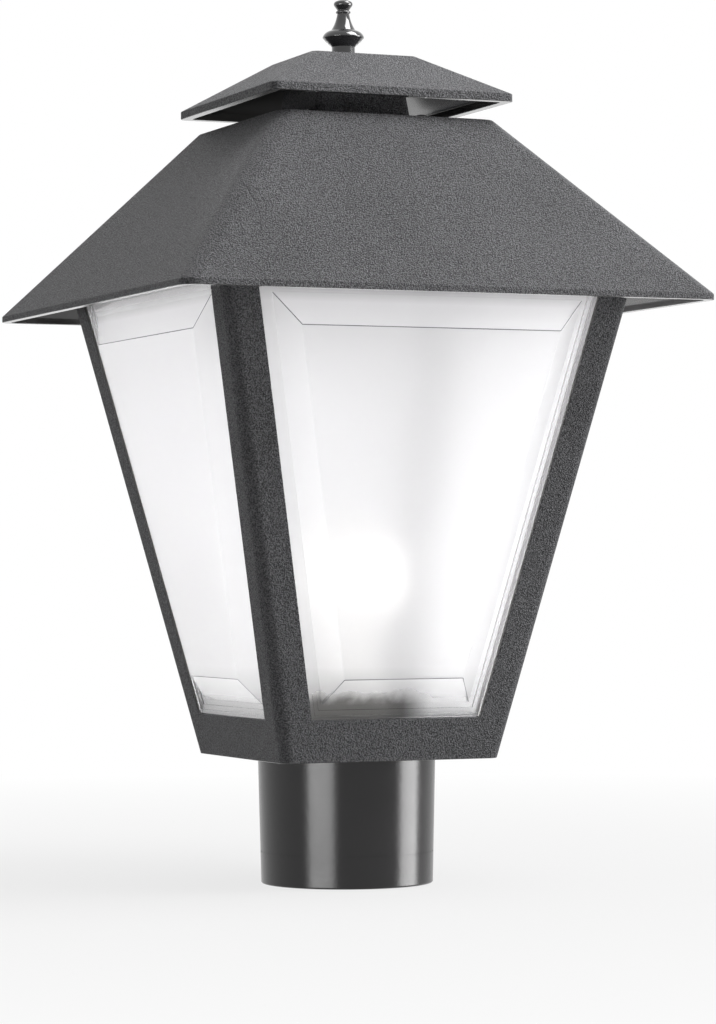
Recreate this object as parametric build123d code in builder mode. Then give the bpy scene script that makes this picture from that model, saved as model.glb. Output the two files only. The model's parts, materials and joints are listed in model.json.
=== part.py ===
"""Square post top lantern: fitter, tapered body, four panes, roof, vent neck and cap, finial and lamp.

Millimetres, +Z up. The origin is the centre of the fitter's lower rim, where the post enters.
"""
from build123d import *
import math
import os

os.makedirs("parts", exist_ok=True)

# --- Driving dimensions -----------------------------------------------------------------------

# Fits
seat_gap = 0.3              # between pieces of different bodies that rest on each other
slot_clearance = 0.3        # each side of a pane in its slot
screw_clearance = 0.05      # radial, shank in its hole
running_clearance = 0.06    # radial, rod in the finial

# Fitter, slipped over the post
post_radius = 38.1
post_clearance = 0.5
fitter_height = 61.2
fitter_rim_radius = 41.6
fitter_top_radius = 43.0
fitter_plate = 6.0
fitter_band_height = 15.4
fitter_band_groove = 0.4
fitter_rim_round = 0.8
set_screw_height = 9.0
set_screw_radius = 3.0
set_screw_length = 5.0
set_screw_recess = 0.3
set_screw_key = 1.6
set_screw_angles = {"left": 112.0, "right": 22.0}

# Body frame
body_base_width = 112.0
body_top_width = 214.8
body_height = 238.8
body_corner_radius = 6.0
body_inner_radius = 1.0
body_floor = 4.0
stile_width = 17.0
frame_lip = 3.0
frame_inner_rib = 2.5
band_height = 19.74
header_height = 12.0
slot_overlap = 6.0

# Panes
pane_thickness = 2.4
pane_top_drop = 8.0
pane_rim_gap = 0.4
pane_rim_depth = 1.2
pane_step_one = 2.2
pane_step_two = 4.6
pane_step_depth = 0.8
pane_border = 7.0
pane_bevel_side = 10.2
pane_bevel_end = 13.5
pane_top_border = 16.0
pane_crown = 4.2
pane_hollow_inset = 0.72

# Roof
roof_overhang = 25.95       # eave beyond the body's top edge, on each side
roof_eave_drop = 23.5       # lower edge of the eave below the body's top
roof_height = 89.5
roof_pitch_deg = 48.3
roof_rim = 2.9
roof_corner_radius = 8.0
roof_wall = 3.2
roof_vent_width = 40.0
roof_seat_reach = 2.7       # seat ring inwards past the body's wall
roof_seat_thickness = 2.5
locator_depth = 4.0
locator_wall = 2.0
locator_length = 22.0
locator_clearance = 1.5

# Vent neck
neck_base_width = 51.0
neck_taper_deg = 7.9
neck_wall = 2.0
neck_flange_reach = 7.5     # flange beyond the neck's base, on each side
neck_flange = 2.5
neck_corner_radius = 3.0
neck_notch_width = 26.0
neck_notch_depth = 10.0

# Vent cap
cap_width = 124.6
cap_gap = 8.3               # between the roof's top and the cap's lower edge
cap_height = 24.5
cap_rim = 3.8
cap_plateau_width = 54.6
cap_corner_radius = 4.0
cap_wall = 2.6
cap_rib_depth = 4.0
cap_rib_wall = 1.6

# Centre rod, strap and finial
rod_radius = 3.0
rod_tail = 8.0
rod_hole_clearance = 0.3
rod_chamfer = 0.6
strap_width = 20.0
strap_thickness = 2.5
strap_end_gap = 2.6
strap_boss_length = 15.0
strap_boss_width = 24.0
strap_boss_height = 8.0
strap_screw_inset = 6.5
nut_flats = 11.0
nut_height = 5.0
washer_radius = 6.4
washer_thickness = 1.5
finial_stem_radius = 5.65
finial_stem_height = 4.5
finial_ring_step = 0.4
finial_rings = 2
finial_belly_radius = 9.6
finial_belly_height = 8.5
finial_shoulder_radius = 10.1
finial_shoulder_height = 9.4
finial_shoulder_round = 0.35
finial_ledge_radius = 7.0
finial_ledge_height = 12.3
finial_ledge_bulge = 0.55
finial_cone_radius = 6.0
finial_cone_height = 12.7
finial_cone_hollow = 0.35
finial_neck_radius = 3.2
finial_neck_height = 19.4
finial_bead_radius = 3.6
finial_bead_height = 21.5
finial_bead_half = 0.7
finial_waist_radius = 2.9
finial_waist_height = 22.6
finial_knob_radius = 4.6
finial_knob_height = 25.3
finial_knob_low_radius = 4.4
finial_knob_low_height = 24.7
finial_knob_high_radius = 3.9
finial_knob_high_height = 26.7
finial_height = 27.8
finial_bore_depth = 12.0
finial_bore_spare = 1.0

# Lamp, socket and wiring
bracket_length = 66.0
bracket_width = 16.0
bracket_thickness = 1.5
bracket_rise = 2.5
bracket_platform = 42.0
bracket_screw_span = 54.0
socket_radius = 19.0
socket_height = 34.8
socket_floor = 4.0
socket_cavity_radius = 14.0
socket_shell_radius = 13.9
socket_shell_wall = 0.6
socket_shell_height = 24.0
socket_rim_chamfer = 1.2
socket_screw_offset = 9.0
socket_screw_length = 5.5
terminal_screw_height = 8.0
terminal_screw_length = 4.0
contact_radius = 5.0
contact_thickness = 0.9
lamp_length = 104.0
lamp_globe_radius = 30.0
lamp_glass_wall = 0.8
lamp_base_radius = 13.0
lamp_base_height = 22.0
lamp_base_wall = 0.5
lamp_collar = 1.5
lamp_throat_radius = 12.4
lamp_throat_height = 4.0
lamp_tip_radius = 4.5
lamp_tip_height = 2.2
lamp_tip_ledge = 1.5
lamp_tip_gap = 0.1
lamp_insulator_height = 3.6
thread_clearance = 0.3
grommet_offset = 30.0
grommet_hole_radius = 7.0
grommet_bore_radius = 4.5
grommet_flange_radius = 9.0
grommet_flange = 1.5
wire_hole_clearance = 1.5

# Screws
small_screw_radius = 1.5
small_head_radius = 2.9
small_head_height = 1.8
medium_screw_radius = 2.0
medium_head_radius = 3.8
medium_head_height = 2.4
large_screw_radius = 2.4
large_head_radius = 4.6
large_head_height = 2.8
drive_slot_share = 0.28     # slot width as a share of the head radius
drive_reach_share = 0.62    # slot half length as a share of the head radius
drive_depth_share = 0.55    # slot depth as a share of the head height
fitter_screw_circle = 28.3
fitter_screw_length = 8.2
neck_screw_reach = 3.1      # centres beyond the neck's base, on each side
neck_screw_length = 5.3
strap_screw_length = 8.5
bracket_screw_length = 5.0
ground_screw_offset = 30.0

# --- Derived levels and slopes ----------------------------------------------------------------

body_base_z = fitter_height
body_top_z = body_base_z + body_height
floor_top_z = body_base_z + body_floor
base_half = body_base_width / 2
top_half = body_top_width / 2
body_slope = (top_half - base_half) / body_height
body_taper = math.atan(body_slope)
slot_width = pane_thickness + 2 * slot_clearance
wall_depth = frame_lip + slot_width + frame_inner_rib
wall_run = wall_depth / math.cos(body_taper)
pane_back = frame_lip + slot_clearance + pane_thickness
band_v = band_height / math.cos(body_taper)
header_v = (body_height - header_height) / math.cos(body_taper)
pane_top_v = (body_height - pane_top_drop) / math.cos(body_taper)
beyond_top_v = (body_height + wall_depth) / math.cos(body_taper)

bore_radius = post_radius + post_clearance
post_stop_z = fitter_height - fitter_plate

strap_z = body_top_z - header_height + strap_boss_height
strap_top_z = strap_z + strap_thickness
strap_half = top_half - wall_run - strap_end_gap
strap_screw_x = strap_half - strap_screw_inset

roof_width = body_top_width + 2 * roof_overhang
roof_eave_z = body_top_z - roof_eave_drop
roof_plateau_z = roof_eave_z + roof_height
roof_slope = 1 / math.tan(math.radians(roof_pitch_deg))
roof_plateau_width = roof_width - 2 * roof_slope * (roof_height - roof_rim)
roof_wall_run = roof_wall * math.sqrt(1 + roof_slope**2)
roof_seat_z = body_top_z + seat_gap
roof_seat_width = 2 * (top_half - wall_run - roof_seat_reach)

cap_eave_z = roof_plateau_z + cap_gap
cap_plateau_z = cap_eave_z + cap_height
cap_slope = (cap_width - cap_plateau_width) / 2 / (cap_height - cap_rim)
cap_wall_run = cap_wall * math.sqrt(1 + cap_slope**2)
cap_ceiling_z = cap_plateau_z - cap_wall

neck_slope = math.tan(math.radians(neck_taper_deg))
neck_top_z = cap_ceiling_z - seat_gap
neck_top_width = neck_base_width - 2 * neck_slope * (neck_top_z - roof_plateau_z)
neck_flange_width = neck_base_width + 2 * neck_flange_reach
neck_screw_offset = neck_base_width / 2 + neck_screw_reach

washer_z = cap_plateau_z + seat_gap
finial_z = washer_z + washer_thickness + seat_gap
rod_top_z = finial_z + finial_bore_depth - finial_bore_spare
rod_bottom_z = strap_z - rod_tail

socket_z = floor_top_z + bracket_rise + bracket_thickness
socket_top_z = socket_z + socket_height
cavity_z = socket_z + socket_floor
terminal_z = socket_z + terminal_screw_height
lamp_z = cavity_z + contact_thickness + thread_clearance
lamp_base_z = lamp_z + lamp_tip_height + lamp_insulator_height
lamp_glass_z = lamp_base_z + lamp_base_height
lamp_centre_z = lamp_z + lamp_length - lamp_globe_radius

SIDES = {"front": -90.0, "right": 0.0, "rear": 90.0, "left": 180.0}
QUADRANTS = ((1, 1), (-1, 1), (-1, -1), (1, -1))


# --- Helpers ----------------------------------------------------------------------------------

def side_plane(angle_deg, depth=0.0):
    """Plane on one sloping outer face, moved inwards by depth, with local Y up the slope."""
    angle = math.radians(angle_deg)
    outward = Vector(math.cos(angle), math.sin(angle), 0)
    normal = outward * math.cos(body_taper) + Vector(0, 0, -math.sin(body_taper))
    origin = outward * base_half + Vector(0, 0, body_base_z) - normal * depth
    return Plane(origin=origin, x_dir=(-math.sin(angle), math.cos(angle), 0), z_dir=normal)


def pane_outline(side_inset, low_v, high_v):
    """Corners of a trapezoid that keeps side_inset from the opening's slanting edges."""
    low_half = base_half + low_v * math.sin(body_taper) - stile_width - side_inset
    high_half = base_half + high_v * math.sin(body_taper) - stile_width - side_inset
    return [(-low_half, low_v), (low_half, low_v), (high_half, high_v), (-high_half, high_v)]


def square_at(width, height, corner_radius):
    """Rounded square on a horizontal plane at the given height."""
    with BuildSketch(Plane.XY.offset(height)) as square:
        RectangleRounded(width, width, corner_radius)
    return square.sketch


def frustum(low, high, corner_radius, mode=Mode.ADD):
    """Square frustum between (width, height) pairs, in the part being built."""
    ends = [square_at(width, height, corner_radius) for width, height in (low, high)]
    loft(ends, ruled=True, mode=mode)


def outline_at(outline, angle_deg, depth):
    """Flat face with the given outline, parallel to a sloping side and depth behind it."""
    with BuildSketch(side_plane(angle_deg, depth)) as face:
        with BuildLine():
            Polyline(outline, close=True)
        make_face()
    return face.sketch


def slab(outline, angle_deg, front_depth, back_depth, mode=Mode.ADD):
    """Plate parallel to a sloping side, from front_depth to back_depth behind it."""
    extrude(outline_at(outline, angle_deg, front_depth), amount=front_depth - back_depth, mode=mode)


def screws(points, seat_z, length, shank_radius, head_radius, head_height):
    """Group of pan head screws with a crossed drive, heads up, seated at seat_z."""
    slot_reach = 2 * head_radius * drive_reach_share
    slot_breadth = head_radius * drive_slot_share
    with BuildPart() as group:
        with BuildSketch(Plane.XY.offset(seat_z - length)):
            with Locations(*points):
                Circle(shank_radius)
        extrude(amount=length)
        with BuildSketch(Plane.XY.offset(seat_z)):
            with Locations(*points):
                Circle(head_radius)
        extrude(amount=head_height)
        tops = group.edges().filter_by(GeomType.CIRCLE).group_by(Axis.Z)[-1]
        fillet(tops, head_height * drive_depth_share)
        with BuildSketch(Plane.XY.offset(seat_z + head_height)):
            with Locations(*points):
                Rectangle(slot_reach, slot_breadth)
                Rectangle(slot_breadth, slot_reach)
        extrude(amount=-head_height * drive_depth_share, mode=Mode.SUBTRACT)
    return group.part


def save(piece, name):
    """Label a finished piece and write it."""
    piece.label = name
    export_step(piece, f"parts/{name}.step")


# --- Fitter and set screws --------------------------------------------------------------------

fitter_screw_points = [
    (sx * fitter_screw_circle * math.sqrt(0.5), sy * fitter_screw_circle * math.sqrt(0.5))
    for sx, sy in QUADRANTS
]

with BuildPart() as fitter:
    with BuildSketch(Plane.XZ):
        with BuildLine():
            Polyline(
                (0, 0),
                (fitter_rim_radius, 0),
                (fitter_top_radius, fitter_height),
                (0, fitter_height),
                close=True,
            )
        make_face()
    revolve(axis=Axis.Z)
    with BuildSketch(Plane.XY):
        Circle(bore_radius)
    extrude(amount=post_stop_z, mode=Mode.SUBTRACT)
    with BuildSketch(Plane.XY.offset(fitter_band_height)):
        Circle(fitter_top_radius)
        Circle(fitter_rim_radius, mode=Mode.SUBTRACT)
    extrude(amount=fitter_band_groove, mode=Mode.SUBTRACT)
    rim_edges = fitter.edges().filter_by(GeomType.CIRCLE).group_by(Axis.Z)[0]
    fillet(rim_edges.sort_by(SortBy.RADIUS)[-1], fitter_rim_round)
    with BuildSketch(Plane.XY.offset(fitter_height)):
        with Locations(*fitter_screw_points):
            Circle(large_screw_radius + screw_clearance)
        with Locations((0, grommet_offset)):
            Circle(grommet_hole_radius + wire_hole_clearance)
    extrude(amount=-fitter_plate, mode=Mode.SUBTRACT)
    for angle in set_screw_angles.values():
        outward = Vector(math.cos(math.radians(angle)), math.sin(math.radians(angle)), 0)
        with BuildSketch(Plane(origin=(0, 0, set_screw_height), z_dir=outward)):
            Circle(set_screw_radius + screw_clearance)
        extrude(amount=fitter_top_radius + 1, mode=Mode.SUBTRACT)
save(fitter.part, "fitter")

for side, angle in set_screw_angles.items():
    outward = Vector(math.cos(math.radians(angle)), math.sin(math.radians(angle)), 0)
    tip = outward * (bore_radius + set_screw_recess) + Vector(0, 0, set_screw_height)
    head = tip + outward * set_screw_length
    with BuildPart() as set_screw:
        with BuildSketch(Plane(origin=tip, z_dir=outward)):
            Circle(set_screw_radius)
        extrude(amount=set_screw_length)
        chamfer(set_screw.edges().filter_by(GeomType.CIRCLE), set_screw_recess)
        with BuildSketch(Plane(origin=head, z_dir=outward)):
            RegularPolygon(set_screw_key, 6)
        extrude(amount=-set_screw_length / 2, mode=Mode.SUBTRACT)
    save(set_screw.part, f"set_screw_{side}")

save(
    screws(
        fitter_screw_points, floor_top_z, fitter_screw_length,
        large_screw_radius, large_head_radius, large_head_height,
    ),
    "fitter_screws",
)

# --- Body frame -------------------------------------------------------------------------------

bracket_screw_points = [(sx * bracket_screw_span / 2, 0) for sx in (-1, 1)]
strap_screw_points = [(sx * strap_screw_x, 0) for sx in (-1, 1)]
ground_screw_point = (0, -ground_screw_offset)
boss_outer_x = top_half - body_slope * header_height - (frame_lip + slot_width) / math.cos(body_taper)

with BuildPart() as body_frame:
    frustum((body_base_width, body_base_z), (body_top_width, body_top_z), body_corner_radius)
    floor_width = 2 * (base_half + body_slope * body_floor - wall_run)
    frustum(
        (floor_width, floor_top_z),
        (body_top_width - 2 * wall_run, body_top_z),
        body_inner_radius,
        mode=Mode.SUBTRACT,
    )
    for angle in SIDES.values():
        slab(pane_outline(0, band_v, header_v), angle, 0, wall_depth + 1, mode=Mode.SUBTRACT)
        slab(pane_outline(0, band_v, beyond_top_v), angle, -1, frame_lip + 1, mode=Mode.SUBTRACT)
        slab(
            pane_outline(-slot_overlap, band_v - slot_overlap, beyond_top_v),
            angle, frame_lip, frame_lip + slot_width, mode=Mode.SUBTRACT,
        )
    with BuildSketch(Plane.XY.offset(strap_z)):
        for sx in (-1, 1):
            with Locations((sx * (boss_outer_x - strap_boss_length / 2), 0)):
                Rectangle(strap_boss_length, strap_boss_width)
    extrude(amount=-strap_boss_height)
    with BuildSketch(Plane.XY.offset(strap_z)):
        with Locations(*strap_screw_points):
            Circle(medium_screw_radius + screw_clearance)
    extrude(amount=-strap_boss_height, mode=Mode.SUBTRACT)
    with BuildSketch(Plane.XY.offset(body_base_z)):
        with Locations(*fitter_screw_points):
            Circle(large_screw_radius + screw_clearance)
        with Locations(*bracket_screw_points, ground_screw_point):
            Circle(medium_screw_radius + screw_clearance)
        with Locations((0, grommet_offset)):
            Circle(grommet_hole_radius)
    extrude(amount=body_floor, mode=Mode.SUBTRACT)
save(body_frame.part, "body_frame")

# --- Panes ------------------------------------------------------------------------------------

crown_top_v = pane_top_v - pane_top_border - pane_bevel_end
crown_low_v = band_v + pane_border + pane_bevel_end
border_low_v = band_v + pane_border
border_top_v = pane_top_v - pane_top_border
border_depth = pane_rim_depth + 2 * pane_step_depth
crown_inset = pane_border + pane_bevel_side

for side, angle in SIDES.items():
    with BuildPart() as pane:
        slab(
            pane_outline(
                slot_clearance - slot_overlap, band_v - slot_overlap + slot_clearance, pane_top_v,
            ),
            angle, frame_lip + slot_clearance, pane_back,
        )
        slab(
            pane_outline(pane_rim_gap, band_v + pane_rim_gap, pane_top_v),
            angle, pane_rim_depth, pane_back,
        )
        slab(
            pane_outline(pane_step_one, band_v + pane_step_one, pane_top_v - pane_step_one),
            angle, pane_rim_depth, pane_rim_depth + pane_step_depth, mode=Mode.SUBTRACT,
        )
        slab(
            pane_outline(pane_step_two, band_v + pane_step_two, pane_top_v - pane_step_two),
            angle, pane_rim_depth, border_depth, mode=Mode.SUBTRACT,
        )
        border = pane_outline(pane_border, border_low_v, border_top_v)
        crown = pane_outline(crown_inset, crown_low_v, crown_top_v)
        hollow = pane_outline(
            crown_inset + pane_hollow_inset,
            crown_low_v + pane_hollow_inset,
            crown_top_v - pane_hollow_inset,
        )
        loft(
            [outline_at(border, angle, border_depth), outline_at(crown, angle, -pane_crown)],
            ruled=True,
        )
        loft(
            [
                outline_at(border, angle, pane_back),
                outline_at(hollow, angle, pane_thickness - pane_crown),
            ],
            ruled=True,
            mode=Mode.SUBTRACT,
        )
    save(pane.part, f"lens_{side}")

# --- Strap, rod and nuts ----------------------------------------------------------------------

with BuildPart() as cross_strap:
    with BuildSketch(Plane.XY.offset(strap_z)):
        RectangleRounded(2 * strap_half, strap_width, strap_thickness)
        Circle(rod_radius + rod_hole_clearance, mode=Mode.SUBTRACT)
        with Locations(*strap_screw_points):
            Circle(medium_screw_radius + screw_clearance, mode=Mode.SUBTRACT)
    extrude(amount=strap_thickness)
save(cross_strap.part, "cross_strap")

save(
    screws(
        strap_screw_points, strap_top_z, strap_screw_length,
        medium_screw_radius, medium_head_radius, medium_head_height,
    ),
    "strap_screws",
)

with BuildPart() as centre_rod:
    with BuildSketch(Plane.XY.offset(rod_bottom_z)):
        Circle(rod_radius)
    extrude(amount=rod_top_z - rod_bottom_z)
    chamfer(centre_rod.edges().filter_by(GeomType.CIRCLE), rod_chamfer)
save(centre_rod.part, "centre_rod")

with BuildPart() as rod_nuts:
    for nut_z in (strap_z - nut_height, strap_top_z):
        with BuildSketch(Plane.XY.offset(nut_z)):
            RegularPolygon(nut_flats / 2, 6, major_radius=False)
            Circle(rod_radius + screw_clearance, mode=Mode.SUBTRACT)
        extrude(amount=nut_height)
save(rod_nuts.part, "rod_nuts")

# --- Roof -------------------------------------------------------------------------------------

neck_screw_points = [(sx * neck_screw_offset, sy * neck_screw_offset) for sx, sy in QUADRANTS]
roof_rim_z = roof_eave_z + roof_rim
roof_ceiling_z = roof_plateau_z - roof_wall
roof_ceiling_width = roof_plateau_width + 2 * (roof_slope * roof_wall - roof_wall_run)
roof_inner_width = roof_width - 2 * roof_wall_run
roof_inner_radius = roof_corner_radius - roof_wall
locator_half = top_half - wall_run - locator_clearance


def roof_inner_at(height):
    """Width between the roof's inner faces at a height above its rim."""
    return roof_inner_width - 2 * roof_slope * (height - roof_rim_z)


with BuildPart() as roof:
    frustum((roof_width, roof_rim_z), (roof_plateau_width, roof_plateau_z), roof_corner_radius)
    with BuildSketch(Plane.XY.offset(roof_eave_z)):
        RectangleRounded(roof_width, roof_width, roof_corner_radius)
    extrude(amount=roof_rim)
    frustum(
        (roof_inner_width, roof_rim_z), (roof_ceiling_width, roof_ceiling_z), roof_inner_radius,
        mode=Mode.SUBTRACT,
    )
    with BuildSketch(Plane.XY.offset(roof_eave_z)):
        RectangleRounded(roof_inner_width, roof_inner_width, roof_inner_radius)
    extrude(amount=roof_rim, mode=Mode.SUBTRACT)
    with BuildSketch(Plane.XY.offset(roof_ceiling_z)):
        Rectangle(roof_vent_width, roof_vent_width)
    extrude(amount=roof_wall, mode=Mode.SUBTRACT)
    frustum(
        (roof_inner_at(roof_seat_z) + roof_wall, roof_seat_z),
        (
            roof_inner_at(roof_seat_z + roof_seat_thickness) + roof_wall,
            roof_seat_z + roof_seat_thickness,
        ),
        roof_inner_radius,
    )
    with BuildSketch(Plane.XY.offset(roof_seat_z)):
        Rectangle(roof_seat_width, roof_seat_width)
    extrude(amount=roof_seat_thickness, mode=Mode.SUBTRACT)
    locator_centre = locator_half - locator_length / 2
    with BuildSketch(Plane.XY.offset(roof_seat_z - seat_gap - locator_depth)):
        with Locations(*[(sx * locator_centre, sy * locator_centre) for sx, sy in QUADRANTS]):
            Rectangle(locator_length, locator_length)
        inner_centre = locator_centre - locator_wall
        with Locations(*[(sx * inner_centre, sy * inner_centre) for sx, sy in QUADRANTS]):
            Rectangle(locator_length, locator_length, mode=Mode.SUBTRACT)
    extrude(amount=locator_depth + seat_gap + roof_seat_thickness)
    with BuildSketch(Plane.XY.offset(roof_plateau_z)):
        with Locations(*neck_screw_points):
            Circle(small_screw_radius + screw_clearance)
    extrude(amount=-roof_wall, mode=Mode.SUBTRACT)
save(roof.part, "roof")

# --- Vent neck --------------------------------------------------------------------------------

neck_flange_z = roof_plateau_z + neck_flange

with BuildPart() as vent_neck:
    frustum((neck_base_width, roof_plateau_z), (neck_top_width, neck_top_z), neck_corner_radius)
    with BuildSketch(Plane.XY.offset(roof_plateau_z)):
        RectangleRounded(neck_flange_width, neck_flange_width, neck_corner_radius)
    extrude(amount=neck_flange)
    frustum(
        (neck_base_width - 2 * neck_wall, roof_plateau_z),
        (neck_top_width - 2 * neck_wall, neck_top_z),
        neck_corner_radius / 2,
        mode=Mode.SUBTRACT,
    )
    with BuildSketch(Plane.XY.offset(neck_top_z)):
        Rectangle(neck_base_width, neck_notch_width)
        Rectangle(neck_notch_width, neck_base_width)
    extrude(amount=-neck_notch_depth, mode=Mode.SUBTRACT)
    with BuildSketch(Plane.XY.offset(roof_plateau_z)):
        with Locations(*neck_screw_points):
            Circle(small_screw_radius + screw_clearance)
    extrude(amount=neck_flange, mode=Mode.SUBTRACT)
save(vent_neck.part, "vent_neck")

save(
    screws(
        neck_screw_points, neck_flange_z, neck_screw_length,
        small_screw_radius, small_head_radius, small_head_height,
    ),
    "neck_screws",
)

# --- Vent cap ---------------------------------------------------------------------------------

cap_rim_z = cap_eave_z + cap_rim
cap_inner_width = cap_width - 2 * cap_wall_run
cap_ceiling_width = cap_plateau_width + 2 * (cap_slope * cap_wall - cap_wall_run)
cap_inner_radius = cap_corner_radius / 2
cap_rib_width = neck_top_width - 2 * neck_wall - 2 * neck_slope * cap_rib_depth - 2 * seat_gap

with BuildPart() as vent_cap:
    frustum((cap_width, cap_rim_z), (cap_plateau_width, cap_plateau_z), cap_corner_radius)
    with BuildSketch(Plane.XY.offset(cap_eave_z)):
        RectangleRounded(cap_width, cap_width, cap_corner_radius)
    extrude(amount=cap_rim)
    frustum(
        (cap_inner_width, cap_rim_z), (cap_ceiling_width, cap_ceiling_z), cap_inner_radius,
        mode=Mode.SUBTRACT,
    )
    with BuildSketch(Plane.XY.offset(cap_eave_z)):
        RectangleRounded(cap_inner_width, cap_inner_width, cap_inner_radius)
    extrude(amount=cap_rim, mode=Mode.SUBTRACT)
    with BuildSketch(Plane.XY.offset(cap_ceiling_z)):
        Rectangle(cap_rib_width, cap_rib_width)
        Rectangle(cap_rib_width - 2 * cap_rib_wall, cap_rib_width - 2 * cap_rib_wall, mode=Mode.SUBTRACT)
    extrude(amount=-cap_rib_depth)
    with BuildSketch(Plane.XY.offset(cap_ceiling_z)):
        Circle(rod_radius + rod_hole_clearance)
    extrude(amount=cap_wall, mode=Mode.SUBTRACT)
save(vent_cap.part, "vent_cap")

# --- Finial and its washer --------------------------------------------------------------------

with BuildPart() as finial_washer:
    with BuildSketch(Plane.XY.offset(washer_z)):
        Circle(washer_radius)
        Circle(rod_radius + rod_hole_clearance, mode=Mode.SUBTRACT)
    extrude(amount=washer_thickness)
save(finial_washer.part, "finial_washer")

ring_radius = (finial_belly_radius - finial_stem_radius - finial_rings * finial_ring_step) / (
    finial_rings + 1
)
ring_height = (finial_belly_height - finial_stem_height) / (finial_rings + 1)
dome_rise = finial_height - finial_knob_high_height
dome_radius = (finial_knob_high_radius**2 + dome_rise**2) / (2 * dome_rise)
dome_angle = math.asin(finial_knob_high_radius / dome_radius) / 2


def finial_point(radius, height):
    """Point of the finial's outline, at a height above its foot."""
    return (radius, finial_z + height)


def bulged(start, end, bulge):
    """Point beside the middle of a chord, to the right of its way by bulge."""
    run = Vector(end[0] - start[0], end[1] - start[1])
    aside = Vector(run.Y, -run.X).normalized() * bulge
    return ((start[0] + end[0]) / 2 + aside.X, (start[1] + end[1]) / 2 + aside.Y)


rings = []
for ring in range(finial_rings + 1):
    ring_start = finial_stem_radius + ring * (ring_radius + finial_ring_step)
    rings.append(finial_point(ring_start, finial_stem_height + ring * ring_height))
    rings.append(finial_point(ring_start + ring_radius, finial_stem_height + (ring + 1) * ring_height))

belly = finial_point(finial_belly_radius, finial_belly_height)
shoulder = finial_point(finial_shoulder_radius, finial_shoulder_height)
ledge = finial_point(finial_ledge_radius, finial_ledge_height)
cone_foot = finial_point(finial_cone_radius, finial_cone_height)
cone_top = finial_point(finial_neck_radius, finial_neck_height)
bead_low = finial_point(finial_waist_radius, finial_bead_height - finial_bead_half)
bead_high = finial_point(finial_waist_radius, finial_bead_height + finial_bead_half)
waist_top = finial_point(finial_waist_radius, finial_waist_height)
knob_low = finial_point(finial_knob_low_radius, finial_knob_low_height)
knob_high = finial_point(finial_knob_high_radius, finial_knob_high_height)
finial_top = finial_point(0, finial_height)

with BuildPart() as finial:
    with BuildSketch(Plane.XZ):
        with BuildLine():
            Polyline(finial_top, finial_point(0, 0), finial_point(finial_stem_radius, 0), *rings)
            ThreePointArc(belly, bulged(belly, shoulder, finial_shoulder_round / 2), shoulder)
            ThreePointArc(shoulder, bulged(shoulder, ledge, finial_ledge_bulge), ledge)
            Line(ledge, cone_foot)
            ThreePointArc(cone_foot, bulged(cone_foot, cone_top, -finial_cone_hollow), cone_top)
            Line(cone_top, bead_low)
            ThreePointArc(bead_low, finial_point(finial_bead_radius, finial_bead_height), bead_high)
            Polyline(bead_high, waist_top, knob_low)
            ThreePointArc(knob_low, finial_point(finial_knob_radius, finial_knob_height), knob_high)
            ThreePointArc(
                knob_high,
                finial_point(
                    dome_radius * math.sin(dome_angle),
                    finial_height - dome_radius * (1 - math.cos(dome_angle)),
                ),
                finial_top,
            )
        make_face()
    revolve(axis=Axis.Z)
    with BuildSketch(Plane.XY.offset(finial_z)):
        Circle(rod_radius + running_clearance)
    extrude(amount=finial_bore_depth, mode=Mode.SUBTRACT)
save(finial.part, "finial")

# --- Socket on its bracket --------------------------------------------------------------------

platform_z = floor_top_z + bracket_rise
foot_top_z = floor_top_z + bracket_thickness
socket_screw_points = [(sx * socket_screw_offset, 0) for sx in (-1, 1)]

with BuildPart() as socket_bracket:
    with BuildSketch(Plane.XZ):
        with BuildLine():
            Polyline(
                (-bracket_length / 2, floor_top_z),
                (-bracket_platform / 2, floor_top_z),
                (-bracket_platform / 2 + bracket_rise / 2, platform_z),
                (bracket_platform / 2 - bracket_rise / 2, platform_z),
                (bracket_platform / 2, floor_top_z),
                (bracket_length / 2, floor_top_z),
                (bracket_length / 2, foot_top_z),
                (bracket_platform / 2 + bracket_thickness / 2, foot_top_z),
                (bracket_platform / 2 - bracket_rise / 2 + bracket_thickness / 2, socket_z),
                (-bracket_platform / 2 + bracket_rise / 2 - bracket_thickness / 2, socket_z),
                (-bracket_platform / 2 - bracket_thickness / 2, foot_top_z),
                (-bracket_length / 2, foot_top_z),
                close=True,
            )
        make_face()
    extrude(amount=bracket_width / 2, both=True)
    with BuildSketch(Plane.XY.offset(floor_top_z)):
        with Locations(*bracket_screw_points):
            Circle(medium_screw_radius + screw_clearance)
    extrude(amount=bracket_thickness, mode=Mode.SUBTRACT)
    with BuildSketch(Plane.XY.offset(platform_z)):
        with Locations(*socket_screw_points):
            Circle(small_screw_radius + screw_clearance)
    extrude(amount=bracket_thickness, mode=Mode.SUBTRACT)
save(socket_bracket.part, "socket_bracket")

save(
    screws(
        bracket_screw_points, foot_top_z, bracket_screw_length,
        medium_screw_radius, medium_head_radius, medium_head_height,
    ),
    "bracket_screws",
)

with BuildPart() as ground_screw:
    with BuildSketch(Plane.XY.offset(floor_top_z - bracket_screw_length + bracket_thickness)):
        with Locations(ground_screw_point):
            Circle(medium_screw_radius)
    extrude(amount=bracket_screw_length - bracket_thickness)
    with BuildSketch(Plane.XY.offset(floor_top_z)):
        with Locations(ground_screw_point):
            RegularPolygon(medium_head_radius, 6)
    extrude(amount=medium_head_height)
save(ground_screw.part, "ground_screw")

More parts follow.
